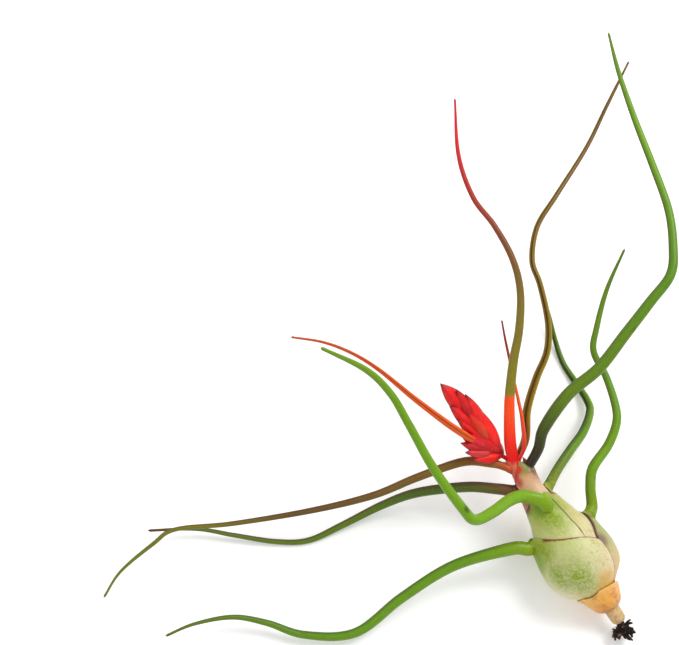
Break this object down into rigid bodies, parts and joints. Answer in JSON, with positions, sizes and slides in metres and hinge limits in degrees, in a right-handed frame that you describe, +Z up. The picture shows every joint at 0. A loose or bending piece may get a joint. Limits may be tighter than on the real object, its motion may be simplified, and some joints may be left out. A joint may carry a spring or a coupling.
{
  "type": "air plant",
  "caption": "Air plant lying on its side: a swollen bulb of wrapped leaf sheaths, long rolled curling leaves, a short spike of red bracts and a knot of cut roots.",
  "frame": {"origin": "middle of the small flat spot under the bulb, where the plant rests on the surface", "axes": "+Z up from the surface, +Y away from the viewer and towards the leaf tips, +X to the viewer's right"},
  "size_m": [0.1859, 0.1967, 0.087],
  "materials": {
    "pale_green_leaf": "satin",
    "bright_green_leaf": "satin",
    "deep_green_leaf": "satin",
    "olive_leaf": "satin",
    "bronze_leaf": "satin",
    "russet_leaf": "satin",
    "orange_bract": "satin",
    "red_bract": "satin",
    "papery_scale": "satin",
    "woody_stem": "matte",
    "dry_roots": "matte"
  },
  "bodies": {
    "root": {"basal_scale": "papery_scale", "leaf_low_left": "pale_green_leaf", "leaf_far_right": "deep_green_leaf", "leaf_front": "bright_green_leaf", "leaf_back_floor": "bright_green_leaf", "leaf_left_floor": "olive_leaf", "leaf_tall_right": "deep_green_leaf", "leaf_long_left": "bronze_leaf", "leaf_tall_back": "olive_leaf", "leaf_red_tipped": "russet_leaf", "bract_orange": "orange_bract", "bract_long": "orange_bract", "flower_head": "red_bract", "stem": "woody_stem", "root_knot": "dry_roots"}
  },
  "joints": []
}
